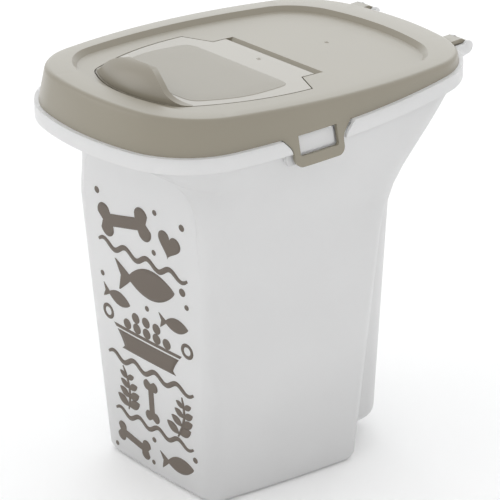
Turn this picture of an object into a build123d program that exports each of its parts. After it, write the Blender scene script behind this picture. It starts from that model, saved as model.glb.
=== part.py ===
# Pet food storage container: translucent tub, hinged lid with two side latch loops,
# and a pouring flap with a thumb lip.  Millimetres, Z up.  The pouring end faces -Y,
# the hinge is at +Y.  The origin is the middle of the face that the tub stands on.
from build123d import *
from math import cos, hypot, radians, sin, sqrt, tan
import os

# Base of the tub, in plan
BASE_LENGTH = 106.0          # front panel to rear wall, at the floor
BASE_FRONT_WIDTH = 98.0      # across the front panel, before its corners are rounded
BASE_REAR_WIDTH = 134.0      # across the rear corners
WALL_BOW = 1.5               # how far each wall stands out in its middle
FRONT_CORNER_RADIUS = 10.0
REAR_CORNER_RADIUS = 7.0
BASE_EDGE_RADIUS = 5.0
BODY_DRAFT = 3.4             # degrees, every wall leans outwards going up
WALL = 2.0                   # wall of the tub

# Grip column behind the body
COLUMN_WIDTH = 102.0
COLUMN_DEPTH = 37.0          # how far it stands out behind the rear wall
COLUMN_FOOT = 10.0           # height of its underside above the floor
COLUMN_CORNER_RADIUS = 15.0
COLUMN_FOOT_RADIUS = 9.0
COLUMN_DRAFT = 2.3           # degrees

# Rim oval: outline of the lower edge of the lid skirt, made of tangent arcs
RIM_WIDTH = 171.0
RIM_LENGTH = 258.0
RIM_SIDE_RADIUS = 430.0
RIM_END_RADIUS = 165.0
RIM_CORNER_RADIUS = 52.0
RIM_CENTRE_Y = 25.0          # the rim stands further back than the base
SPLIT_HEIGHT = 242.5         # where the lid skirt stands on the collar

# Flare, from the body to the rim
REAR_SWELL_FOOT = 155.0      # height at which the rear wall starts to move out to the column
FLARE_FOOT = 178.0           # height at which the rear and the sides start to flare
FLARE_FOOT_RADIUS = 50.0     # rear corners at that height
SHOULDER_HEIGHT = 212.0      # top of the flat front panel, where the front starts to flare
FLARE_POWER = 1.35           # 1 is a straight funnel, more bends outwards

# Collar round the rim
COLLAR_OVERHANG = 2.6        # collar outside the skirt
COLLAR_HEIGHT = 9.2
COLLAR_WALL = 1.8
NECK_BELOW_COLLAR = 2.3      # upright wall between the flare and the collar
FLARE_TOP = SPLIT_HEIGHT - COLLAR_HEIGHT - NECK_BELOW_COLLAR
UPSTAND_HEIGHT = 2.2         # rim above the collar, inside the lid
LID_CLEARANCE = 0.4          # between the rim and the inside of the skirt

# Lid
LID_HEIGHT = 13.5            # top plane above the skirt's lower edge, over the rim centre
LID_TOP = SPLIT_HEIGHT + LID_HEIGHT
LID_TILT = 4.0               # degrees, the top plane falls towards the hinge
SKIRT_DRAFT = 12.0           # degrees, the skirt leans inwards going up
LID_WALL = 2.0
LID_EDGE_RADIUS = 3.5
PANEL_SIDE_INSET = 14.0      # sunken panel, inside the lower edge of the skirt
PANEL_END_INSET = 22.0
PANEL_DEPTH = 3.0
PANEL_SLOPE = 45.0           # degrees from upright, wall round the sunken panel

# Pouring flap, in the tilted plane of the lid, from the rim centre
FLAP_WALL = 2.0
FLAP_GAP = 0.8               # round the flap
FLAP_SEAT_GAP = 0.2          # under the flap
FLAP_EAR_X = 56.5
FLAP_EAR_Y = -6.0
FLAP_SIDE_X = 51.0
FLAP_SIDE_Y = -52.0
FLAP_FRONT_X = 38.0
FLAP_FRONT_Y = -88.5
FLAP_NOSE_Y = -100.5
FLAP_CORNER_RADIUS = 12.0
TONGUE_HALF_WIDTH = 38.5
TONGUE_ROOT_Y = 3.0
TONGUE_END_Y = 13.5
SLOT_END_Y = 20.0            # upper edge of the slot behind the tongue
SLOT_SLOPE = 5.0             # the slot wall comes forward this much lower down
LEDGE_WIDTH = 4.0            # the flap rests on a ledge this wide
LEDGE_WALL = 1.6
FRAME_WIDTH = 3.0            # ledge frame outside the flap recess

# Flap pivots
PIVOT_Y = 7.0
PIVOT_DROP = 2.2             # pivot axis below the top face of the flap
PIVOT_RADIUS = 1.3
PIVOT_LENGTH = 4.5
PIVOT_CLEARANCE = 0.05
PIVOT_CHEEK = 4.0            # cheek under the tongue that carries each pivot
PIVOT_BOSS_WALL = 1.6

# Thumb lip at the front of the flap
LIP_HEIGHT = 16.5
LIP_LEAN = 11.0              # the top edge stands this far behind the foot
LIP_WALL = 2.0
LIP_STEP = 0.6               # the foot stands this far inside the nose
LIP_TOP_HALF_WIDTH = 8.0     # the bell outline: level top, half height, foot
LIP_WAIST_HALF_WIDTH = 25.0
LIP_FOOT_HALF_WIDTH = 41.0

# Latch loops on the sides of the lid
LOOP_Y = -3.0
LOOP_HALF_WIDTH = 18.0       # at the lower bar
LOOP_ROOT_SPREAD = 7.0       # wider at the skirt by this much on each side
LOOP_DEPTH = 18.0            # from the skirt edge to the lower edge of the bar
LOOP_BAR = 6.0
WINDOW_HALF_WIDTH = 14.0
LOOP_CORNER_RADIUS = 5.0
LOOP_ROOT_RADIUS = 9.0
WINDOW_CORNER_RADIUS = 1.5
LOOP_RECESS_GAP = 1.5        # collar stands clear of the loop by this much
SEAT_DEPTH = 1.6             # latch seat behind the inner face of the loop
LUG_INSET = 1.2              # lug inside the edge of the window
LUG_GAP = 0.3                # lug short of the inner face of the loop

# Rear hinges
HINGE_X = 40.0
HINGE_BEHIND_RIM = 6.5       # pin axis behind the rear end of the rim oval
HINGE_DROP = 3.0             # pin axis below the lid skirt edge
HINGE_PIN_RADIUS = 1.8
HINGE_CLEARANCE = 0.08
CLIP_WIDTH = 10.0
CLIP_RADIUS = 3.8
CLIP_MOUTH = 2.2
CLIP_ARM = 2.6
EAR_WALL = 1.8
EAR_GAP = 0.5
EAR_RADIUS = 4.2

BIG = 600.0                  # larger than the whole part
UPRIGHT = Plane(origin=(0, 0, 0), x_dir=(0, 1, 0), z_dir=(1, 0, 0))


def corner_centre(side_x, end_y, side_radius, end_radius, corner_radius):
    """Centre of the arc that joins a side arc centred at (side_x, 0) to an end arc at (0, end_y)."""
    span = hypot(side_x, end_y)
    from_side = side_radius - corner_radius
    from_end = end_radius - corner_radius
    along = (span**2 + from_side**2 - from_end**2) / (2 * span)
    across = sqrt(from_side**2 - along**2)
    ux, uy = -side_x / span, end_y / span
    cx, cy = side_x + ux * along + uy * across, uy * along - ux * across
    if cx < 0 or cy < 0:
        cx, cy = side_x + ux * along - uy * across, uy * along + ux * across
    return cx, cy


def oval(half_width, half_length, side_radius, end_radius, corner_radius, grow=0.0):
    """Closed oval of eight tangent arcs; the corner arc's centre lies where circles
    about the side and end centres meet, and grow moves the outline outwards."""
    side_x = half_width - side_radius
    end_y = half_length - end_radius
    cx, cy = corner_centre(side_x, end_y, side_radius, end_radius, corner_radius)

    def point(centre, towards, radius):
        length = hypot(towards[0] - centre[0], towards[1] - centre[1])
        return (centre[0] + (towards[0] - centre[0]) / length * (radius + grow),
                centre[1] + (towards[1] - centre[1]) / length * (radius + grow))

    side = point((side_x, 0), (cx, cy), side_radius)
    end = point((0, end_y), (cx, cy), end_radius)
    mean = ((side[0] + end[0]) / 2, (side[1] + end[1]) / 2)
    mid = point((cx, cy), mean, corner_radius)
    arcs = []
    for sx, sy in ((1, 1), (-1, 1), (-1, -1), (1, -1)):
        arcs.append([(sx * x, sy * y) for x, y in (side, mid, end)])
    edges = [ThreePointArc(*arc) for arc in arcs]
    top, bottom = half_length + grow, -half_length - grow
    edges.append(ThreePointArc(arcs[0][2], (0, top), arcs[1][2]))
    edges.append(ThreePointArc(arcs[2][2], (0, bottom), arcs[3][2]))
    edges.append(ThreePointArc(arcs[1][0], (-half_width - grow, 0), arcs[2][0]))
    edges.append(ThreePointArc(arcs[3][0], (half_width + grow, 0), arcs[0][0]))
    return make_face(edges)


def rim_oval(grow, height):
    face = oval(RIM_WIDTH / 2, RIM_LENGTH / 2, RIM_SIDE_RADIUS, RIM_END_RADIUS,
                RIM_CORNER_RADIUS, grow)
    return Pos(0, RIM_CENTRE_Y, height) * face


def drafted_block(grow, bottom, top):
    """Solid bounded by the leaning face of the skirt, moved outwards by grow."""
    spread = (SPLIT_HEIGHT - bottom) * tan(radians(SKIRT_DRAFT))
    return extrude(rim_oval(grow + spread, bottom), top - bottom, taper=SKIRT_DRAFT)


def above(height):
    return Pos(0, 0, height + BIG / 2) * Box(BIG, BIG, BIG)


# Tub

def share(height, foot, top, power):
    """0 below foot, 1 above top, rising between them."""
    return max(0, min(1, (height - foot) / (top - foot)))**power


def blend(start, end, part):
    return start + (end - start) * part


def rim_corner():
    """Where the side and end arcs of the rim oval would meet without their corner arcs."""
    x, y = RIM_WIDTH / 2, RIM_LENGTH / 2
    for _ in range(30):
        y = RIM_LENGTH / 2 - RIM_END_RADIUS + sqrt(RIM_END_RADIUS**2 - x**2)
        x = RIM_WIDTH / 2 - RIM_SIDE_RADIUS + sqrt(RIM_SIDE_RADIUS**2 - y**2)
    return x, y


def ring(height, inset, draw=0.0):
    """Cross-section of the body at one height: four bowed walls with rounded corners.
    draw takes the outline further in, for the rounded edge of the base."""
    lean = height * tan(radians(BODY_DRAFT))
    swell = share(height, REAR_SWELL_FOOT, FLARE_FOOT, 2)
    sides = share(height, FLARE_FOOT, FLARE_TOP, FLARE_POWER)
    front = share(height, SHOULDER_HEIGHT, FLARE_TOP, FLARE_POWER)
    rim_x, rim_y = rim_corner()
    grow = upstand_grow()
    half = BASE_LENGTH / 2 + lean
    front_y = blend(-half, RIM_CENTRE_Y - rim_y - grow, front)
    front_x = blend(BASE_FRONT_WIDTH / 2 + lean, rim_x + grow, sides)
    rear_y = blend(half + swell * COLUMN_DEPTH, RIM_CENTRE_Y + rim_y + grow, sides)
    rear_x = blend(BASE_REAR_WIDTH / 2 + lean, rim_x + grow, sides)
    front_bow = blend(WALL_BOW, RIM_LENGTH / 2 - rim_y, front)
    rear_bow = blend(WALL_BOW, RIM_LENGTH / 2 - rim_y, sides)
    middle_x = blend((front_x + rear_x) / 2 + WALL_BOW, RIM_WIDTH / 2 + grow, sides)
    round_off = share(height, FLARE_FOOT, FLARE_TOP, 1)
    front_radius = blend(FRONT_CORNER_RADIUS, RIM_CORNER_RADIUS + grow, round_off)
    rear_radius = blend(REAR_CORNER_RADIUS, FLARE_FOOT_RADIUS, swell)
    rear_radius = blend(rear_radius, RIM_CORNER_RADIUS + grow, sides)
    off = inset + draw
    front_y, rear_y = front_y + off, rear_y - off
    front_x, rear_x, middle_x = front_x - off, rear_x - off, middle_x - off
    face = make_face([
        ThreePointArc((-front_x, front_y), (0, front_y - front_bow), (front_x, front_y)),
        ThreePointArc((front_x, front_y), (middle_x, (front_y + rear_y) / 2), (rear_x, rear_y)),
        ThreePointArc((rear_x, rear_y), (0, rear_y + rear_bow), (-rear_x, rear_y)),
        ThreePointArc((-rear_x, rear_y), (-middle_x, (front_y + rear_y) / 2), (-front_x, front_y))])
    face = fillet(face.vertices().sort_by(Axis.Y)[:2], front_radius - inset)
    face = fillet(face.vertices().sort_by(Axis.Y)[-2:], rear_radius - inset)
    return Pos(0, 0, height) * face


def body(inset, top):
    """Body from its base to its neck, as straight bands between cross-sections."""
    radius = BASE_EDGE_RADIUS - inset
    sections = []
    for turn in (0, 45, 90):
        lift, draw = radius * (1 - cos(radians(turn))), radius * (1 - sin(radians(turn)))
        sections.append(ring(inset + lift, inset, draw))
    for foot, end, steps in ((REAR_SWELL_FOOT, FLARE_FOOT, 3), (FLARE_FOOT, SHOULDER_HEIGHT, 3),
                             (SHOULDER_HEIGHT, FLARE_TOP, 4)):
        sections += [ring(blend(foot, end, i / steps), inset) for i in range(steps)]
    sections += [ring(FLARE_TOP, inset), ring(top, inset)]
    return loft(sections, ruled=True)


def lowest_edges(solid):
    return solid.faces().sort_by(Axis.Z)[0].edges()


def column(inset):
    reach = BASE_LENGTH / 2 + COLUMN_DEPTH
    plan = Pos(0, reach / 2) * Rectangle(COLUMN_WIDTH, reach)
    plan = fillet(plan.vertices().sort_by(Axis.Y)[-2:], COLUMN_CORNER_RADIUS)
    if inset:
        plan = offset(plan, -inset)
    block = extrude(Pos(0, 0, COLUMN_FOOT) * plan, FLARE_FOOT + 10 - COLUMN_FOOT,
                    taper=-COLUMN_DRAFT)
    if inset:
        block = block & above(COLUMN_FOOT + inset)
    return fillet(lowest_edges(block), COLUMN_FOOT_RADIUS - inset)


def upstand_grow():
    """Outer face of the rim, from the lower edge of the skirt; the skirt leans in above it."""
    return -LID_WALL - LID_CLEARANCE - UPSTAND_HEIGHT * tan(radians(SKIRT_DRAFT))


def tub_shape(inset, top):
    return body(inset, top) + column(inset)


def collar():
    band = extrude(rim_oval(COLLAR_OVERHANG, SPLIT_HEIGHT - COLLAR_HEIGHT), COLLAR_HEIGHT)
    low = SPLIT_HEIGHT - COLLAR_HEIGHT
    inside = extrude(rim_oval(COLLAR_OVERHANG - COLLAR_WALL, low), COLLAR_HEIGHT - COLLAR_WALL)
    core = extrude(rim_oval(upstand_grow() - WALL / 2, low), COLLAR_HEIGHT)
    return band - inside - core


def loop_outline(grow=0.0):
    """Side view of a latch loop, without its window, as a plate along X."""
    top = SPLIT_HEIGHT + grow
    low = SPLIT_HEIGHT - LOOP_DEPTH - grow
    bar, root = LOOP_HALF_WIDTH + grow, LOOP_HALF_WIDTH + LOOP_ROOT_SPREAD + grow
    flare_at = SPLIT_HEIGHT - LOOP_ROOT_SPREAD
    points = [(-root - 2, top), (-root, SPLIT_HEIGHT), (-bar, flare_at), (-bar, low),
              (bar, low), (bar, flare_at), (root, SPLIT_HEIGHT), (root + 2, top)]
    if not grow:
        points = points[1:-1]
    face = make_face(Polyline(points, close=True))
    lower = face.vertices().sort_by(Axis.Y)[:2]
    face = fillet(lower, LOOP_CORNER_RADIUS + grow)
    waist = [v for v in face.vertices() if abs(v.Y - flare_at) < 0.01]
    return fillet(waist, LOOP_ROOT_RADIUS)


def plate_along_x(face, side):
    """Sketch (Y, Z) made a thick plate on one side of the part."""
    return Pos(0, LOOP_Y, 0) * extrude(UPRIGHT * face, side * RIM_WIDTH)


def window_face(inset=0.0):
    low, top = SPLIT_HEIGHT - LOOP_DEPTH + LOOP_BAR + inset, SPLIT_HEIGHT - inset
    face = Pos(0, (low + top) / 2) * Rectangle(2 * (WINDOW_HALF_WIDTH - inset), top - low)
    return fillet(face.vertices(), WINDOW_CORNER_RADIUS)


def latch_seat(side):
    """Recessed wall behind a loop, with the lug that shows in its window."""
    low = SPLIT_HEIGHT - LOOP_DEPTH + 1
    depth = -LID_WALL - SEAT_DEPTH
    behind = drafted_block(depth - WALL, low, SPLIT_HEIGHT)
    shell = drafted_block(depth, low, SPLIT_HEIGHT) - behind
    outline = plate_along_x(loop_outline(LOOP_RECESS_GAP + WALL), side)
    lug = drafted_block(-LID_WALL - LUG_GAP, low, SPLIT_HEIGHT) - behind
    return (shell & outline) + (lug & plate_along_x(window_face(LUG_INSET), side))


def loop_recess(side):
    low = SPLIT_HEIGHT - LOOP_DEPTH - COLLAR_HEIGHT
    depth = -LID_WALL - SEAT_DEPTH
    around = Pos(0, 0, low) * extrude(rim_oval(BIG / 10, 0), BIG)
    room = around - drafted_block(depth, low, SPLIT_HEIGHT + COLLAR_HEIGHT)
    return room & plate_along_x(loop_outline(LOOP_RECESS_GAP), side)


def hinge_axis():
    """Height and distance back of the lid hinge."""
    return RIM_CENTRE_Y + RIM_LENGTH / 2 + HINGE_BEHIND_RIM, SPLIT_HEIGHT - HINGE_DROP


def rear_line(x, grow=0.0):
    """Y of the rim oval's rear arc at x."""
    radius = RIM_END_RADIUS + grow
    return RIM_CENTRE_Y + RIM_LENGTH / 2 - RIM_END_RADIUS + sqrt(radius**2 - x**2)


def hinge_ears(x):
    """Two ears on the collar and the pin between them."""
    y, z = hinge_axis()
    root = rear_line(abs(x) + CLIP_WIDTH, COLLAR_OVERHANG) - COLLAR_WALL / 2
    low = SPLIT_HEIGHT - COLLAR_HEIGHT
    profile = Pos(y, z) * Circle(EAR_RADIUS)
    profile += make_face(Polyline([(root, low), (y, z - EAR_RADIUS), (y, z + HINGE_DROP - 0.2),
                                   (root, SPLIT_HEIGHT - 0.2)], close=True))
    half = CLIP_WIDTH / 2 + EAR_GAP
    ear = extrude(UPRIGHT * profile, EAR_WALL)
    parts = Pos(x + half, 0, 0) * ear + Pos(x - half - EAR_WALL, 0, 0) * ear
    pin = Pos(x, y, z) * Rot(0, 90, 0) * Cylinder(HINGE_PIN_RADIUS, 2 * half + EAR_WALL)
    return parts + pin


def make_tub():
    top = SPLIT_HEIGHT + UPSTAND_HEIGHT
    shell = tub_shape(0, top) - tub_shape(WALL, top + 1) + collar()
    for side in (1, -1):
        shell -= loop_recess(side)
        shell += latch_seat(side)
        shell += hinge_ears(side * HINGE_X)
    return shell


# Lid

LID_PLANE = Plane(origin=(0, RIM_CENTRE_Y, LID_TOP), x_dir=(1, 0, 0),
                  z_dir=(0, sin(radians(LID_TILT)), cos(radians(LID_TILT))))


def under_plane(depth):
    """Everything below the lid's top plane moved down by depth."""
    return LID_PLANE * (Pos(0, 0, -depth - BIG / 2) * Box(BIG, BIG, BIG))


def panel_face(grow):
    half_w = RIM_WIDTH / 2 - PANEL_SIDE_INSET
    half_l = RIM_LENGTH / 2 - PANEL_END_INSET
    return oval(half_w, half_l, RIM_SIDE_RADIUS, RIM_END_RADIUS - PANEL_END_INSET,
                RIM_CORNER_RADIUS - PANEL_SIDE_INSET, grow)


def panel_block(depth, grow):
    """Sunken panel as a solid with leaning walls, from above the lid down to depth."""
    top = 1.0
    base = Pos(0, 0, -depth) * panel_face(grow - depth * tan(radians(PANEL_SLOPE)))
    return LID_PLANE * extrude(base, top + depth, taper=-PANEL_SLOPE)


def flap_outline(grow=0.0):
    """Outline of the flap; grow moves it outwards."""
    right = [(TONGUE_HALF_WIDTH, TONGUE_END_Y), (TONGUE_HALF_WIDTH, TONGUE_ROOT_Y),
             (FLAP_EAR_X, FLAP_EAR_Y)]
    left = [(-x, y) for x, y in right]
    nose = [(FLAP_FRONT_X, FLAP_FRONT_Y), (0, FLAP_NOSE_Y), (-FLAP_FRONT_X, FLAP_FRONT_Y)]
    edges = [Line(left[0], right[0]), Line(right[0], right[1]), Line(right[1], right[2]),
             ThreePointArc(right[2], (FLAP_SIDE_X, FLAP_SIDE_Y), nose[0]), ThreePointArc(*nose),
             ThreePointArc(nose[2], (-FLAP_SIDE_X, FLAP_SIDE_Y), left[2]),
             Line(left[2], left[1]), Line(left[1], left[0])]
    face = make_face(edges)
    corners = [v for v in face.vertices() if abs(v.Y - FLAP_FRONT_Y) < 0.01]
    face = fillet(corners, FLAP_CORNER_RADIUS)
    return offset(face, grow, kind=Kind.INTERSECTION) if grow else face


def slot_block():
    """Opening for the tongue; its rear wall slopes forward going down."""
    half = TONGUE_HALF_WIDTH + FLAP_GAP
    low = PANEL_DEPTH + FLAP_WALL + FLAP_SEAT_GAP + LEDGE_WALL
    points = [(TONGUE_ROOT_Y - LEDGE_WIDTH, 1), (SLOT_END_Y, 1), (SLOT_END_Y, -PANEL_DEPTH),
              (SLOT_END_Y - SLOT_SLOPE, -low), (SLOT_END_Y - SLOT_SLOPE, -low - 10),
              (TONGUE_ROOT_Y - LEDGE_WIDTH, -low - 10)]
    wedge = extrude(UPRIGHT * make_face(Polyline(points, close=True)), 2 * half)
    return LID_PLANE * (Pos(-half, 0, 0) * wedge)


def flap_frame():
    """Ledge frame under the lid that the flap sits in."""
    bottom = PANEL_DEPTH + FLAP_WALL + FLAP_SEAT_GAP + LEDGE_WALL
    outline = flap_outline(FLAP_GAP + FRAME_WIDTH)
    block = extrude(Pos(0, 0, -bottom) * outline, bottom - PANEL_DEPTH)
    wide = TONGUE_HALF_WIDTH + FLAP_GAP + FRAME_WIDTH
    rear = SLOT_END_Y + FRAME_WIDTH
    back = Pos(0, rear / 2, -(bottom + PANEL_DEPTH) / 2) * Box(2 * wide, rear, bottom - PANEL_DEPTH)
    return LID_PLANE * (block + back)


def pivot_place(x):
    return Pos(x, PIVOT_Y, -PANEL_DEPTH - PIVOT_DROP) * Rot(0, 90, 0)


def pivot_bosses():
    radius = PIVOT_RADIUS + PIVOT_CLEARANCE + PIVOT_BOSS_WALL
    length = PIVOT_LENGTH + PIVOT_BOSS_WALL
    start = TONGUE_HALF_WIDTH + FLAP_GAP
    bosses = None
    for side in (1, -1):
        boss = pivot_place(side * (start + length / 2)) * Cylinder(radius, length)
        bosses = boss if bosses is None else bosses + boss
    lid_floor = Pos(0, 0, -PANEL_DEPTH - BIG / 2) * Box(BIG, BIG, BIG)
    return LID_PLANE * (bosses & lid_floor)


def pivot_holes():
    radius = PIVOT_RADIUS + PIVOT_CLEARANCE
    length = 2 * (TONGUE_HALF_WIDTH + PIVOT_LENGTH + PIVOT_CLEARANCE + 0.3)
    return LID_PLANE * (pivot_place(0) * Cylinder(radius, length))


def hinge_clip(x):
    """Snap clip of the lid round one hinge pin: an arm and a ring with its mouth behind."""
    y, z = hinge_axis()
    root = rear_line(abs(x) + CLIP_WIDTH / 2, -LID_WALL)
    arm_low = SPLIT_HEIGHT + 0.3
    tip = z + CLIP_RADIUS
    profile = Pos(y, z) * Circle(CLIP_RADIUS)
    profile += make_face(Polyline([(root, arm_low), (y - CLIP_RADIUS - 0.6, arm_low), (y - 1.5, z),
                                   (y, tip), (y - CLIP_RADIUS, arm_low + CLIP_ARM),
                                   (root, arm_low + CLIP_ARM)], close=True))
    profile -= Pos(y, z) * Circle(HINGE_PIN_RADIUS + HINGE_CLEARANCE)
    profile -= Pos(y + CLIP_RADIUS, z) * Rectangle(2 * CLIP_RADIUS, CLIP_MOUTH)
    return Pos(x - CLIP_WIDTH / 2, 0, 0) * extrude(UPRIGHT * profile, CLIP_WIDTH)


def make_lid():
    tall = LID_TOP - SPLIT_HEIGHT + RIM_LENGTH * tan(radians(LID_TILT))
    top = SPLIT_HEIGHT + tall
    outer = drafted_block(0, SPLIT_HEIGHT, top) & under_plane(0)
    rim_edges = [e for e in outer.edges() if abs(LID_PLANE.to_local_coords(e @ 0.5).Z) < 0.01
                 and abs(LID_PLANE.to_local_coords(e @ 0.25).Z) < 0.01]
    outer = fillet(rim_edges, LID_EDGE_RADIUS)
    inner = drafted_block(-LID_WALL, SPLIT_HEIGHT - 1, top) & under_plane(LID_WALL)
    sink = panel_block(PANEL_DEPTH, 0)
    inner -= panel_block(PANEL_DEPTH + LID_WALL, LID_WALL)
    for side in (1, -1):
        outer += hinge_clip(side * HINGE_X)
    lid = outer - inner - sink
    lid += flap_frame() + pivot_bosses()
    recess_depth = PANEL_DEPTH + FLAP_WALL + FLAP_SEAT_GAP
    lid -= LID_PLANE * extrude(Pos(0, 0, -recess_depth) * flap_outline(FLAP_GAP), recess_depth + 1)
    through = flap_outline(-LEDGE_WIDTH)
    lid -= LID_PLANE * extrude(Pos(0, 0, -BIG / 10) * through, BIG / 5)
    lid -= slot_block()
    return lid - pivot_holes()


# Flap

def lip():
    """Curled thumb lip: an arc profile turned about an upright axis, cut to a bell shape."""
    run, rise = LIP_LEAN, LIP_HEIGHT
    start, low = FLAP_NOSE_Y + LIP_STEP, -FLAP_WALL / 2
    outer = ThreePointArc((start, low), (start + 0.22 * run, 0.55 * rise), (start + run, rise))
    inner = ThreePointArc((start + run + LIP_WALL * 0.8, rise - LIP_WALL * 0.5),
                          (start + 0.28 * run + LIP_WALL, 0.42 * rise), (start + 2 * LIP_WALL, low))
    profile = make_face([outer, Line(outer @ 1, inner @ 0), inner, Line(inner @ 1, outer @ 0)])
    centre = FLAP_NOSE_Y + nose_radius()
    turned = revolve(Pos(0, -centre, 0) * (UPRIGHT * profile), Axis.Z, 80)
    turned = Pos(0, centre, 0) * (Rot(0, 0, -40) * turned)
    trimmed = turned & extrude(Pos(0, 0, -FLAP_WALL) * flap_outline(-LIP_STEP / 2), 2 * rise)
    top, waist, wide = LIP_TOP_HALF_WIDTH, LIP_WAIST_HALF_WIDTH, LIP_FOOT_HALF_WIDTH
    edges = [Line((-wide, -FLAP_WALL), (wide, -FLAP_WALL)), Line((-top, rise), (top, rise))]
    for s in (1, -1):
        low_bend = (s * blend(wide, waist, 0.5), 0.14 * rise)
        high_bend = (s * blend(waist, top, 0.5), 0.84 * rise)
        edges.append(Line((s * wide, -FLAP_WALL), (s * wide, 0)))
        edges.append(ThreePointArc((s * wide, 0), low_bend, (s * waist, rise / 2)))
        edges.append(ThreePointArc((s * waist, rise / 2), high_bend, (s * top, rise)))
    bell = Plane(origin=(0, 0, 0), x_dir=(1, 0, 0), z_dir=(0, -1, 0)) * make_face(edges)
    return trimmed & extrude(bell, -FLAP_NOSE_Y + 20)


def nose_radius():
    """Radius of the flap's front arc, from its three named points."""
    rise = FLAP_FRONT_Y - FLAP_NOSE_Y
    return (FLAP_FRONT_X**2 + rise**2) / (2 * rise)


def make_flap():
    plate = extrude(Pos(0, 0, -FLAP_WALL) * flap_outline(), FLAP_WALL)
    flap = plate + lip()
    cheek_radius = PIVOT_RADIUS + PIVOT_BOSS_WALL
    for side in (1, -1):
        x = side * (TONGUE_HALF_WIDTH - PIVOT_CHEEK / 2)
        cheek = Pos(x, PIVOT_Y, -PIVOT_DROP) * Rot(0, 90, 0) * Cylinder(cheek_radius, PIVOT_CHEEK)
        flap += cheek & (Pos(0, 0, -BIG / 2) * Box(BIG, BIG, BIG))
        pin_x = side * (TONGUE_HALF_WIDTH + (PIVOT_LENGTH - PIVOT_CHEEK) / 2)
        pin = Cylinder(PIVOT_RADIUS, PIVOT_LENGTH + PIVOT_CHEEK)
        flap += Pos(pin_x, PIVOT_Y, -PIVOT_DROP) * Rot(0, 90, 0) * pin
    return LID_PLANE * (Pos(0, 0, -PANEL_DEPTH) * flap)


# Latch loops

def make_loop(side):
    low = SPLIT_HEIGHT - LOOP_DEPTH - 1
    shell = drafted_block(0, low, SPLIT_HEIGHT) - drafted_block(-LID_WALL, low, SPLIT_HEIGHT)
    loop = shell & plate_along_x(loop_outline(), side)
    upper = Pos(0, SPLIT_HEIGHT) * Rectangle(2 * WINDOW_HALF_WIDTH, LOOP_BAR)
    return loop - plate_along_x(window_face() + upper, side)


def main():
    os.makedirs("parts", exist_ok=True)
    nodes = {"tub": make_tub(), "lid": make_lid(), "flap": make_flap(),
             "latch_loop_left": make_loop(-1), "latch_loop_right": make_loop(1)}
    for name, shape in nodes.items():
        print(name, len(shape.solids()), round(shape.volume), shape.bounding_box())
        export_step(shape, f"parts/{name}.step")


main()
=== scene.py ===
# %% [markdown]
# A pet food keeper: a frosted tub, a hinged taupe lid with two latch loops, and a pouring
# flap with a curled thumb lip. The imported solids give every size. This lesson dresses
# them: smooth copies of the mouldings, finishes built from nodes, a matte inlay on the
# flap, small gate marks where the plastic was injected, and a moulded line and a printed
# design on the front panel.

# %% Load the frame
import bmesh
import bpy
import numpy as np
from mathutils import Matrix
from mathutils.bvhtree import BVHTree


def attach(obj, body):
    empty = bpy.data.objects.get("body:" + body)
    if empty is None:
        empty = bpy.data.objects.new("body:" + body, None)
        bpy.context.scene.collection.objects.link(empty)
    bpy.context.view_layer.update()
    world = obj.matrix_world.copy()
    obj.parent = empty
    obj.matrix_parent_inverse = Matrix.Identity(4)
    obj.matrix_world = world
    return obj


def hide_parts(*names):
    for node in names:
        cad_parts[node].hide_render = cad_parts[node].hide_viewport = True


MM = 0.001
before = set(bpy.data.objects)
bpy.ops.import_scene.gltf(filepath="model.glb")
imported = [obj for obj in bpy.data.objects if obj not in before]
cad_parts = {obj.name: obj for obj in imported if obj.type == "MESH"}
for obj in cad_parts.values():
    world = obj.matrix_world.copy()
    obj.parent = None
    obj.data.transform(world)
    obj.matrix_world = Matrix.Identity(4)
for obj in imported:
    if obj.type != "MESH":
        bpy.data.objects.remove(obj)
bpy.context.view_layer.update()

# %% [markdown]
# The solids arrive as loose triangles with flat faces. A real moulding has smooth curved
# walls and a few true edges. A subdivision surface would round those edges away and shrink
# the walls. Merging the doubled corners of a copy, and smoothing every face except across
# sharp folds, gives the look of a moulding without moving a single point.

# %% Smooth copies of the mouldings
MERGE_DISTANCE = 2e-6
SHARP_FOLD = float(np.radians(32))


def smooth_copy(node, body, name):
    """A copy of a node's mesh with its corners merged, smooth up to the sharp folds."""
    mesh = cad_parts[node].data.copy()
    mesh.name = name
    work = bmesh.new()
    work.from_mesh(mesh)
    bmesh.ops.remove_doubles(work, verts=work.verts, dist=MERGE_DISTANCE)
    for face in work.faces:
        face.smooth = True
    for edge in work.edges:
        edge.smooth = len(edge.link_faces) == 2 and edge.calc_face_angle(0) < SHARP_FOLD
    work.to_mesh(mesh)
    work.free()
    mesh.materials.clear()
    piece = bpy.data.objects.new(name, mesh)
    bpy.context.collection.objects.link(piece)
    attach(piece, body)
    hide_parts(node)
    print(name, len(mesh.polygons), "faces")
    return piece


tub = smooth_copy("tub", "tub", "tub_moulding")
lid = smooth_copy("lid", "lid", "lid_moulding")
flap = smooth_copy("flap", "flap", "flap_moulding")
loop_left = smooth_copy("latch_loop_left", "loop_left", "latch_loop_left_moulding")
loop_right = smooth_copy("latch_loop_right", "loop_right", "latch_loop_right_moulding")

# %% [markdown]
# Every finish here is moulded or printed plastic. What tells one from another is how
# rough it is and how much light enters it. A fine noise in the roughness and a very
# shallow bump stand for the tool's spark-eroded texture, and a broad noise for the slow
# change of shade that thick plastic has.

# %% A helper for moulded plastic
BROAD_SCALE, BROAD_DETAIL = 14, 3
FINE_DETAIL = 4
SHADE_STOPS = (0.3, 0.7)
RELIEF_DEPTH = 0.2 * MM


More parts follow.
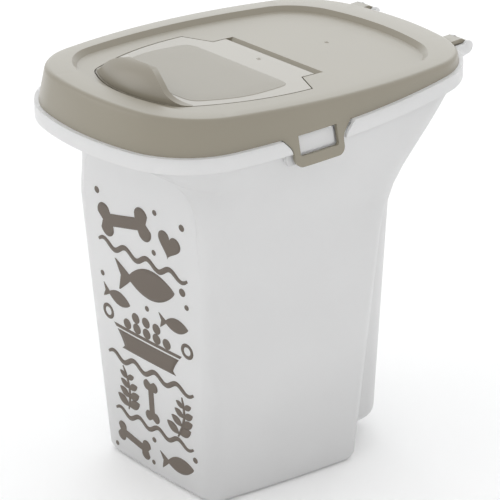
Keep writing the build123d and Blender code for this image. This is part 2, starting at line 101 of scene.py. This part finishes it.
def plastic(name, light, dark, rough, grain, bump, **sockets):
    """Principled plastic: broad noise mixes two close shades, fine noise drives the
    roughness between two values and a shallow bump."""
    material = bpy.data.materials.new(name)
    material.use_nodes = True
    nodes, links = material.node_tree.nodes, material.node_tree.links
    shader = nodes["Principled BSDF"]
    place = nodes.new("ShaderNodeTexCoord")
    broad = nodes.new("ShaderNodeTexNoise")
    broad.inputs["Scale"].default_value = BROAD_SCALE
    broad.inputs["Detail"].default_value = BROAD_DETAIL
    fine = nodes.new("ShaderNodeTexNoise")
    fine.inputs["Scale"].default_value = grain
    fine.inputs["Detail"].default_value = FINE_DETAIL
    shades = nodes.new("ShaderNodeValToRGB")
    for stop, place_on_ramp, shade in zip(shades.color_ramp.elements, SHADE_STOPS, (dark, light)):
        stop.position = place_on_ramp
        stop.color = (*shade, 1)
    spread = nodes.new("ShaderNodeMapRange")
    spread.inputs["To Min"].default_value = rough[0]
    spread.inputs["To Max"].default_value = rough[1]
    relief = nodes.new("ShaderNodeBump")
    relief.inputs["Strength"].default_value = bump
    relief.inputs["Distance"].default_value = RELIEF_DEPTH
    for texture in (broad, fine):
        links.new(place.outputs["Object"], texture.inputs["Vector"])
    links.new(broad.outputs["Fac"], shades.inputs["Fac"])
    links.new(shades.outputs["Color"], shader.inputs["Base Color"])
    links.new(fine.outputs["Fac"], spread.inputs["Value"])
    links.new(spread.outputs["Result"], shader.inputs["Roughness"])
    links.new(fine.outputs["Fac"], relief.inputs["Height"])
    links.new(relief.outputs["Normal"], shader.inputs["Normal"])
    for socket, value in sockets.items():
        shader.inputs[socket.replace("_", " ")].default_value = value
    print("finish", name)
    return material


# %% [markdown]
# The tub lets some light through, so it has transmission. The lid, the flap's border and
# its inlay are one taupe in three degrees of gloss. A clear coat over the colour does that:
# seen from above it hardly shows, and at a low angle it mirrors the bright studio.

# %% The five finishes
frosted = plastic("frosted_polypropylene", (0.90, 0.90, 0.90), (0.87, 0.87, 0.87),
                  (0.34, 0.46), 900, 0.15, Transmission_Weight=0.3, IOR=1.49)
taupe = plastic("taupe_satin", (0.272, 0.245, 0.187), (0.260, 0.234, 0.178),
                (0.34, 0.42), 1400, 0.12, Coat_Weight=0.6, Coat_Roughness=0.32)
border = plastic("taupe_polished", (0.280, 0.253, 0.200), (0.268, 0.242, 0.190),
                 (0.28, 0.34), 1200, 0.05, Coat_Weight=0.75, Coat_Roughness=0.28)
matte = plastic("taupe_matte", (0.282, 0.258, 0.208), (0.270, 0.247, 0.198),
                (0.42, 0.50), 2200, 0.5, Coat_Weight=0.5, Coat_Roughness=0.4)
ink = plastic("taupe_ink", (0.132, 0.106, 0.084), (0.122, 0.098, 0.077),
              (0.46, 0.54), 1800, 0.1)

# %% [markdown]
# The frosted wall is paler where light comes through from the other side. Low down the base
# keeps that light out, so the wall darkens smoothly over its lowest part. That darkening is
# painted shade: the base colour is scaled down towards the ground. The height is read from
# the Object coordinates, so the painted shade stays on the tub from every side.

# %% Painted shade of the frosted wall near the base
PAINTED_SHADE_HEIGHT = 95 * MM
PAINTED_BASE_SHADE = 0.87
nodes, links = frosted.node_tree.nodes, frosted.node_tree.links
wall_colour = nodes["Principled BSDF"].inputs["Base Color"].links[0].from_socket
height = nodes.new("ShaderNodeSeparateXYZ")
links.new(nodes["Texture Coordinate"].outputs["Object"], height.inputs["Vector"])
depth = nodes.new("ShaderNodeMapRange")
depth.interpolation_type = "SMOOTHSTEP"
depth.inputs["From Max"].default_value = PAINTED_SHADE_HEIGHT
depth.inputs["To Min"].default_value = PAINTED_BASE_SHADE
links.new(height.outputs["Z"], depth.inputs["Value"])
# Painted shade: the wall colour is multiplied by a factor that falls towards the base.
shaded = nodes.new("ShaderNodeVectorMath")
shaded.operation = "SCALE"
links.new(wall_colour, shaded.inputs[0])
links.new(depth.outputs["Result"], shaded.inputs["Scale"])
links.new(shaded.outputs["Vector"], nodes["Principled BSDF"].inputs["Base Color"])
print("wall shade", PAINTED_BASE_SHADE, "at the base")

# %% Each moulding gets its finish
for piece, finish, slot in ((tub, frosted, "frosted_tub"), (lid, taupe, "taupe_lid"),
                            (flap, border, "taupe_flap"), (loop_left, taupe, "taupe_lid"),
                            (loop_right, taupe, "taupe_lid")):
    piece.data.materials.append(finish)
    print(piece.name, "wears", finish.name)

# %% [markdown]
# The flap carries a matte inlay inside a polished border. It could be a second material on
# some of the flap's faces, but those triangles don't follow its outline. So it is a thin
# skin of its own on the flap's top face. That face leans with the lid, and working in the
# lid's own tilted plane keeps the shape simple: a rounded polygon, then one turn and one
# shift to place it.

# %% The tilted plane of the lid
RIM_CENTRE_Y = 25 * MM
LID_TOP = 256 * MM
LID_TILT = np.radians(4)
PANEL_DEPTH = 3 * MM


def on_lid(x, y, rise):
    """Points of the lid's tilted plane: x across, y back along the slope, rise off the plane."""
    return np.stack([x, RIM_CENTRE_Y + y * np.cos(LID_TILT) + rise * np.sin(LID_TILT),
                     LID_TOP - y * np.sin(LID_TILT) + rise * np.cos(LID_TILT)], axis=-1)


print("middle of the sunken panel", on_lid(0, 0, -PANEL_DEPTH).round(4))

# %% A mesh from grids of points
WELD_DISTANCE = 1e-6
NO_LENGTH = 1e-7


def grid_faces(rows, columns, closed):
    """Quads of a rows by columns grid; closed joins the last column to the first."""
    r, c = np.meshgrid(np.arange(rows - 1), np.arange(columns if closed else columns - 1),
                       indexing="ij")
    after = (c + 1) % columns
    quads = [r * columns + c, r * columns + after, (r + 1) * columns + after, (r + 1) * columns + c]
    return np.stack(quads, axis=-1).reshape(-1, 4)


def piece_from_grids(name, grids, body, finish):
    """One smooth piece from several point grids, each (points, closed)."""
    points, faces, start = [], [], 0
    for grid, closed in grids:
        points.append(grid.reshape(-1, 3))
        faces.append(grid_faces(*grid.shape[:2], closed) + start)
        start += grid.shape[0] * grid.shape[1]
    mesh = bpy.data.meshes.new(name)
    mesh.from_pydata(np.concatenate(points).tolist(), [], np.concatenate(faces).tolist())
    work = bmesh.new()
    work.from_mesh(mesh)
    bmesh.ops.remove_doubles(work, verts=work.verts, dist=WELD_DISTANCE)
    bmesh.ops.dissolve_degenerate(work, edges=work.edges, dist=NO_LENGTH)
    bmesh.ops.recalc_face_normals(work, faces=work.faces)
    work.to_mesh(mesh)
    work.free()
    mesh.shade_smooth()
    mesh.materials.append(finish)
    piece = bpy.data.objects.new(name, mesh)
    bpy.context.collection.objects.link(piece)
    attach(piece, body)
    print(name, len(mesh.polygons), "faces")
    return piece


# %% The matte inlay of the flap
# Each wall of the polygon is the angle that it faces, in degrees, and its distance in mm.
INLAY_WALLS = np.array([(90, 34), (-90, 34), (5, 47), (175, 47), (-22, 45), (202, 45)])
INLAY_CENTRE_Y = -45 * MM
INLAY_SHARPNESS = 14
INLAY_RISE = 0.15 * MM
# Rings from the middle out: share of the reach, and share of the rise.
INLAY_RINGS = np.array([(0, 1), (0.7, 1), (0.985, 1), (1, 0.6), (1.004, -1)])
INLAY_STEPS = 160


def inlay_point(turn, ring):
    """Rounded polygon: reach is the p-norm of cos(turn - wall) / distance over its walls,
    and ring draws it from the middle out, over the rounded rim and down into the flap."""
    walls, distance = np.radians(INLAY_WALLS[:, 0]), INLAY_WALLS[:, 1] * MM
    facing = np.maximum(0, np.cos(turn[..., None] - walls)) / distance
    reach = (facing**INLAY_SHARPNESS).sum(axis=-1)**(-1 / INLAY_SHARPNESS)
    share, rise = INLAY_RINGS[ring, 0], INLAY_RINGS[ring, 1] * INLAY_RISE
    return on_lid(reach * share * np.cos(turn), INLAY_CENTRE_Y + reach * share * np.sin(turn),
                  rise - PANEL_DEPTH)


turn, ring = np.meshgrid(np.linspace(0, 2 * np.pi, INLAY_STEPS, endpoint=False),
                         np.arange(len(INLAY_RINGS)))
piece_from_grids("flap_matte_inlay", [(inlay_point(turn, ring), True)], "flap", matte)

# %% [markdown]
# Each moulding keeps a small mark where the plastic entered the mould. A bump texture would
# vanish at a low angle, so it is real: a shallow ring with a dimple in the middle. That is a
# surface of revolution, so one profile makes both marks.

# %% Gate marks on the flap and the lid
# Radius and rise in mm, from the dimple out.
GATE_PROFILE = np.array([(0, -0.05), (0.45, 0.02), (0.8, 0.22), (1.15, 0.25), (1.4, 0.12),
                         (1.6, -0.1)])
GATE_STEPS = 28
GATE_ON_FLAP_Y = 5 * MM
GATE_ON_LID_Y = 61 * MM


def gate_mark(y):
    """Profile (radius, rise) turned about an axis square to the lid's sunken panel."""
    turn, step = np.meshgrid(np.linspace(0, 2 * np.pi, GATE_STEPS, endpoint=False),
                             np.arange(len(GATE_PROFILE)))
    radius, rise = GATE_PROFILE[step, 0] * MM, GATE_PROFILE[step, 1] * MM
    return on_lid(radius * np.cos(turn), y + radius * np.sin(turn), rise - PANEL_DEPTH), True


piece_from_grids("gate_mark_flap", [gate_mark(GATE_ON_FLAP_Y)], "flap", border)
piece_from_grids("gate_mark_lid", [gate_mark(GATE_ON_LID_Y)], "lid", taupe)

# %% [markdown]
# A faint moulded line frames the front panel: it runs out from under the collar, turns
# through a wide rounded corner and dies out down the side. It is a low bead. Its path is a
# formula, and rays shot at the tub from the front find the wall under each point, so that
# the bead also sits right where the panel curls into the corner.

# %% The wall of the tub, ready for rays
tub_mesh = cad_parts["tub"].data
tub_tree = BVHTree.FromPolygons([v.co[:] for v in tub_mesh.vertices],
                                [p.vertices[:] for p in tub_mesh.polygons])
RAY_START_Y = -300 * MM
INTO_THE_FRONT = (0, 1, 0)


def front_wall(x, z):
    """Where a ray along +Y from in front meets the tub, and the way the wall faces there."""
    starts = np.stack([x, np.full_like(x, RAY_START_Y), z], axis=-1).reshape(-1, 3)
    hits = [tub_tree.ray_cast(start, INTO_THE_FRONT) for start in starts.tolist()]
    wall = np.array([hit[0][:] for hit in hits]).reshape(*x.shape, 3)
    facing = np.array([hit[1][:] for hit in hits]).reshape(*x.shape, 3)
    return wall, facing


print("rays can meet", len(tub_mesh.polygons), "triangles")

# %% The moulded line round the panel
LINE_CENTRE = (25 * MM, 180 * MM)
LINE_REACH = (25 * MM, 31 * MM)
LINE_ROUNDNESS = 2 / 3
LINE_FIRST_TURN = 0.3
LINE_DROP = 34 * MM
LINE_SPREAD = 1.2 * MM
LINE_HALF_WIDTH = 0.55 * MM
LINE_RISE = 0.22 * MM
LINE_SUNK = 0.06 * MM


def panel_line(side):
    """Superellipse corner, x = reach sin^(2/3), z = reach cos^(2/3), then straight down. The
    bead's rise is a parabola across it, and fades along its lower end."""
    turn = np.linspace(LINE_FIRST_TURN, np.pi / 2, 50)
    drop = np.linspace(0, 1, 20)[1:]
    x = LINE_CENTRE[0] + np.concatenate([LINE_REACH[0] * np.sin(turn)**LINE_ROUNDNESS,
                                         LINE_REACH[0] + LINE_SPREAD * drop])
    z = LINE_CENTRE[1] + np.concatenate([LINE_REACH[1] * np.cos(turn)**LINE_ROUNDNESS,
                                         -LINE_DROP * drop])
    fade = np.concatenate([np.ones(len(turn)), 1 - drop**2])
    dx, dz = np.gradient(x), np.gradient(z)
    length = np.hypot(dx, dz)
    across = np.linspace(-1, 1, 7)
    wall, facing = front_wall(
        side * (x[:, None] - across * LINE_HALF_WIDTH * (dz / length)[:, None]),
        z[:, None] + across * LINE_HALF_WIDTH * (dx / length)[:, None])
    rise = (LINE_RISE + LINE_SUNK) * fade[:, None] * (1 - across**2) - LINE_SUNK
    return wall + facing * rise[..., None], False


piece_from_grids("panel_line", [panel_line(1), panel_line(-1)], "tub", frosted)

# %% [markdown]
# The design on the front panel is screen-printed: a film of ink that follows the wall.
# Each motif is first a flat grid of points, as a function of two parameters. The print
# keeps to the panel's plain middle, where the wall has a short formula. That gives every
# point its depth, so the ink lies on the leaning, slightly bowed panel without a gap.

# %% The front wall as a surface
PANEL_FOOT_Y = 53 * MM
PANEL_HALF_WIDTH = 49 * MM
PANEL_LEAN = np.tan(np.radians(3.4))
PANEL_BOW = 1.5 * MM
INK_RISE = 0.12 * MM


def on_front(x, z):
    """Front panel: foot plus lean times height, plus a bow that is full in the middle and
    none at the corners, plus the thickness of the ink."""
    half = PANEL_HALF_WIDTH + PANEL_LEAN * z
    bow = PANEL_BOW * (1 - (x / half)**2)
    return np.stack([x, -(PANEL_FOOT_Y + PANEL_LEAN * z + bow + INK_RISE), z], axis=-1)


def placed(x, y, centre, size, turn=0.0):
    """A motif of unit size, turned by so many degrees, scaled and moved in mm, on the panel."""
    a = np.radians(turn)
    return on_front(centre[0] * MM + size * MM * (x * np.cos(a) - y * np.sin(a)),
                    centre[1] * MM + size * MM * (x * np.sin(a) + y * np.cos(a)))


print("panel at half height", on_front(0, 120 * MM).round(4))

# %% [markdown]
# Dots, rings and hearts are drawn from the middle out. Bones and fish are drawn along
# their length, with a half height that changes on the way. The numbers in these formulas
# are shares of the motif's size.

# %% Dots, rings and a heart


def outward(count):
    """Angles round the middle, and shares of the way from it to the outline."""
    return np.meshgrid(np.linspace(0, 2 * np.pi, count, endpoint=False), np.linspace(0, 1, 7))


def dot(centre, size):
    """Polar form with a steady radius."""
    angle, share = outward(96)
    return placed(share * np.cos(angle), share * np.sin(angle), centre, size), True


def hoop(inner, centre, size):
    """A ring between an inner share of the size and the whole of it."""
    angle, share = np.meshgrid(np.radians(np.linspace(0, 360, 49)),
                               np.linspace(inner, 1, 3), indexing="ij")
    return placed(share * np.cos(angle), share * np.sin(angle), centre, size), False


def heart(centre, size, turn):
    """The outline x = sin^3 a, y = a sum of four cosines, drawn in towards the middle."""
    a, share = outward(120)
    x = 16 * np.sin(a)**3
    y = 13 * np.cos(a) - 5 * np.cos(2 * a) - 2 * np.cos(3 * a) - np.cos(4 * a)
    return placed(share * x / 16, share * y / 16, centre, size, turn), True


print("a dot has", dot((0, 100), 2)[0].shape[:2], "points")

# %% A bone and a fish
BONE_REACH, BAR_REACH = 1.2, 0.6
KNUCKLE_AT, KNUCKLE_RADIUS = 0.9, 0.3


def bone(centre, size, turn):
    """Half height along the bone: a bar, and at each end a round knuckle above and below the
    middle, whose end is drawn in between them."""
    step, side = np.meshgrid(np.linspace(-1, 1, 121), np.linspace(-1, 1, 9), indexing="ij")
    along = BONE_REACH * np.sin(np.pi / 2 * step)
    off_knuckle = np.clip(abs(along) - KNUCKLE_AT, -KNUCKLE_RADIUS, KNUCKLE_RADIUS)
    knuckle = 0.24 * (abs(along) > BAR_REACH) + np.sqrt(KNUCKLE_RADIUS**2 - off_knuckle**2)
    half = np.maximum(0.2, knuckle)
    notch = 0.16 * (1 - abs(side)) * np.clip((abs(along) - 0.95) / 0.25, 0, 1) * np.sign(along)
    return placed(along - notch, side * half, centre, size, turn), False


def fish(centre, size, turn):
    """Half height along the fish: a sine for the body, then a tail that opens and is forked,
    because its end is drawn in towards the middle."""
    along, side = np.meshgrid(np.linspace(0, 1, 80), np.linspace(-1, 1, 9), indexing="ij")
    body = 0.44 * np.sin(np.pi * np.clip(along / 0.8, 0, 1))**0.75
    tail = 0.44 * np.clip((along - 0.72) / 0.26, 0, 1)**0.9
    fork = 0.16 * (1 - abs(side)) * np.clip((along - 0.8) / 0.2, 0, 1)
    return placed(1.1 - 2.3 * along + fork, side * np.maximum(body, tail), centre, size, turn), False


print("a fish has", fish((0, 100), 10, 0)[0].shape[:2], "points")

# %% [markdown]
# A stroke of the brush is a line carried sideways by half its width each way. Waves and
# stems are such strokes. A leaf is a stroke too, with a width that swells and closes. The
# bowl is a stack of widths, cut in two by a thin bare line under its rim.

# %% Strokes, leaves and a bowl


def stroke(path, width, centre, size, turn=0.0):
    """A stroke: path(t) carried sideways by half the width each way, with tapered ends."""
    t, side = np.meshgrid(np.linspace(0, 1, 90), np.linspace(-1, 1, 3), indexing="ij")
    x, y = path(t)
    dx, dy = np.gradient(x[:, 0]), np.gradient(y[:, 0])
    length = np.hypot(dx, dy)
    half = width / 2 * np.minimum(1, 6 * np.minimum(t, 1 - t) + 0.25)**0.5
    return placed(x - side * half * (dy / length)[:, None],
                  y + side * half * (dx / length)[:, None], centre, size, turn), False


def wave(t):
    """Four turns of a low sine."""
    return 2 * t - 1, 0.06 * np.sin(8 * np.pi * t)


def stem(t):
    """A stem that climbs and leans over."""
    return 0.28 * np.sin(np.pi * t * 0.9), 2 * t - 1


def leaf(centre, size, turn):
    """A leaf: width is the sine of the way along it, so both ends are points."""
    along, side = np.meshgrid(np.linspace(0, 1, 22), np.linspace(-1, 1, 5), indexing="ij")
    return placed(along, side * 0.27 * np.sin(np.pi * along)**0.8, centre, size, turn), False


def bowl_slice(low, high, centre, size):
    """A slice of a bowl between two heights: its half width narrows downwards to a foot."""
    up, side = np.meshgrid(np.linspace(low, high, 12), np.linspace(-1, 1, 15), indexing="ij")
    half = 0.7 + 0.3 * up**1.5 + 0.1 * np.exp(-(up / 0.08)**2)
    return placed(side * half, 0.5 * up, centre, size), False


print("a stroke has", stroke(wave, 0.085, (0, 100), 40)[0].shape[:2], "points")

# %% [markdown]
# The layout reads from the top down, in millimetres across the panel and up from the
# ground. Three waves part it into bands: a bone and a heart, fish over a full bowl, leaves
# beside a bone, and a last bone and fish near the foot.

# %% The top of the print: bone, heart and fish
WAVE_WIDTH = 0.085
motifs = [bone((-14, 171), 20, 14), heart((26, 170), 9.5, -12)]
for x, z, size in ((-38, 184, 2.2), (15, 187, 1.8), (38, 185, 2.2), (12, 160, 1.8)):
    motifs.append(dot((x, z), size))
for z, half_length in ((151, 40), (74, 39), (35, 36)):
    motifs.append(stroke(wave, WAVE_WIDTH, (0, z), half_length))
for x, z, size, turn in ((3, 136, 23, 6), (-26, 116, 11, -6), (26, 117, 11, 4)):
    motifs.append(fish((x, z), size, turn))
for x, z, size in ((35, 142, 2.6), (38, 133, 1.8), (-39, 128, 1.8), (2, 119, 1.8)):
    motifs.append(dot((x, z), size))
print("motifs so far", len(motifs))

# %% The middle of the print: a full bowl between two rings
BOWL = (0, 82)
BOWL_SIZE = 31
KIBBLE_SIZE = 3.5
motifs += [bowl_slice(0, 0.78, BOWL, BOWL_SIZE), bowl_slice(0.86, 1, BOWL, BOWL_SIZE)]
for x, z in ((-18, 101), (-9, 101), (0, 101), (9, 101), (18, 101),
             (-9.5, 108), (0, 108.5), (9.5, 108)):
    motifs.append(dot((x, z), KIBBLE_SIZE))
for x in (-36, 36):
    motifs.append(hoop(0.55, (x, 103), 5.2))
print("motifs so far", len(motifs))

# %% The foot of the print: leaves, bones and a fish
STEM_MIDDLE = 54
STEM_HALF = 15
LEAF_PAIRS = 4
for x, mirror in ((-25, 1), (25, -1)):
    motifs.append(stroke(stem, 0.13, (x, STEM_MIDDLE), STEM_HALF, 8 * mirror))
    for pair in range(LEAF_PAIRS):
        z = 41.5 + 6.6 * pair
        along_stem = (z - STEM_MIDDLE + STEM_HALF) / (2 * STEM_HALF)
        lean = 4.2 * np.sin(np.pi * 0.9 * along_stem) - 0.14 * mirror * (z - STEM_MIDDLE)
        for direction in (28, 152):
            motifs.append(leaf((x + lean, z), 12.0 - 1.5 * pair, direction))
motifs += [bone((0, 54), 12, 90), bone((-20, 18), 13, -10), fish((21, 18), 13, 8)]
for x, z, size in ((0, 27, 1.8), (37, 28, 2.0), (-2, 10, 1.6), (-38, 8, 1.6)):
    motifs.append(dot((x, z), size))
print("motifs in all", len(motifs))

# %% The print as one film of ink
INK_THICKNESS = 0.2 * MM
design = piece_from_grids("front_print", motifs, "tub", ink)
film = design.modifiers.new("ink film", "SOLIDIFY")
film.thickness = INK_THICKNESS
film.offset = -1
print("ink", INK_THICKNESS, "m thick, sunk into the wall")

# %% [markdown]
# The photograph is a studio shot on white. The lid's top is the clue to its light: it looks
# pale and almost neutral, while the skirt below it keeps its taupe. So a wide source stands
# low behind the keeper on the left, where the top mirrors it towards the camera. A weaker
# one fills the front left, and white comes from all round.

# %% Floor
FLOOR_HALF = 6.0
floor_mesh = bpy.data.meshes.new("floor")
corners = [(-FLOOR_HALF, -FLOOR_HALF, 0), (FLOOR_HALF, -FLOOR_HALF, 0),
           (FLOOR_HALF, FLOOR_HALF, 0), (-FLOOR_HALF, FLOOR_HALF, 0)]
floor_mesh.from_pydata(corners, [], [(0, 1, 2, 3)])
floor = bpy.data.objects.new("floor", floor_mesh)
bpy.context.collection.objects.link(floor)
paper = bpy.data.materials.new("white_paper")
paper.use_nodes = True
paper_shader = paper.node_tree.nodes["Principled BSDF"]
paper_shader.inputs["Base Color"].default_value = (0.99, 0.99, 0.99, 1)
paper_shader.inputs["Roughness"].default_value = 0.9
floor_mesh.materials.append(paper)
print("floor", 2 * FLOOR_HALF, "m wide")

# %% White from all round
SURROUND_STRENGTH = 0.945
world = bpy.data.worlds.new("studio")
bpy.context.scene.world = world
world.use_nodes = True
surround = world.node_tree.nodes["Background"]
surround.inputs["Color"].default_value = (1, 1, 1, 1)
surround.inputs["Strength"].default_value = SURROUND_STRENGTH
bpy.context.scene.view_settings.view_transform = "Standard"
print("surround", SURROUND_STRENGTH)

# %% Two soft lamps
ALMOST_ALONG_Y = (0, 1, 0.01)
COOL_WHITE = (0.94, 0.98, 1.0)
WHITE = (1, 1, 1)


def matrix_from(right, up, back, place):
    """The matrix of a lamp or camera from its three axes, as columns, and its place."""
    rows = np.column_stack([right, up, back, place])
    return Matrix([*rows.tolist(), (0, 0, 0, 1)])


def soft_light(name, place, target, width, power, tint):
    """A square area light of that width, facing a point."""
    lamp = bpy.data.lights.new(name, "AREA")
    lamp.size = width
    lamp.energy = power
    lamp.color = tint
    light = bpy.data.objects.new(name, lamp)
    light.visible_camera = False
    bpy.context.collection.objects.link(light)
    away = np.array(place) - np.array(target)
    back = away / np.linalg.norm(away)
    right = np.cross(ALMOST_ALONG_Y, back)
    right /= np.linalg.norm(right)
    light.matrix_world = matrix_from(right, np.cross(back, right), back, place)
    print("light", name, power, "W")


soft_light("behind_left", (-1.7, 1.6, 1.5), (0, 0.03, 0.25), 3.0, 19, COOL_WHITE)
soft_light("front_left", (-1.1, -1.3, 0.9), (0, 0, 0.15), 1.2, 3, WHITE)

# %% [markdown]
# The camera stands where the lines of the photograph put it: to the front right, looking
# down at the lid, with a long lens. Its three axes and its place were fitted to the
# keeper's edges.

# %% Camera
CAMERA_RIGHT = (0.6753, 0.7376, 0.0)
CAMERA_UP = (-0.3184, 0.2915, 0.9020)
CAMERA_BACK = (0.6653, -0.6091, 0.4317)
CAMERA_PLACE = (1.0109, -0.9027, 0.7855)
camera_data = bpy.data.cameras.new("camera")
camera = bpy.data.objects.new("camera", camera_data)
bpy.context.collection.objects.link(camera)
camera.matrix_world = matrix_from(CAMERA_RIGHT, CAMERA_UP, CAMERA_BACK, CAMERA_PLACE)
camera_data.sensor_width = 36
camera_data.lens = 179.26
bpy.context.scene.camera = camera
print("camera lens", camera_data.lens, "mm")
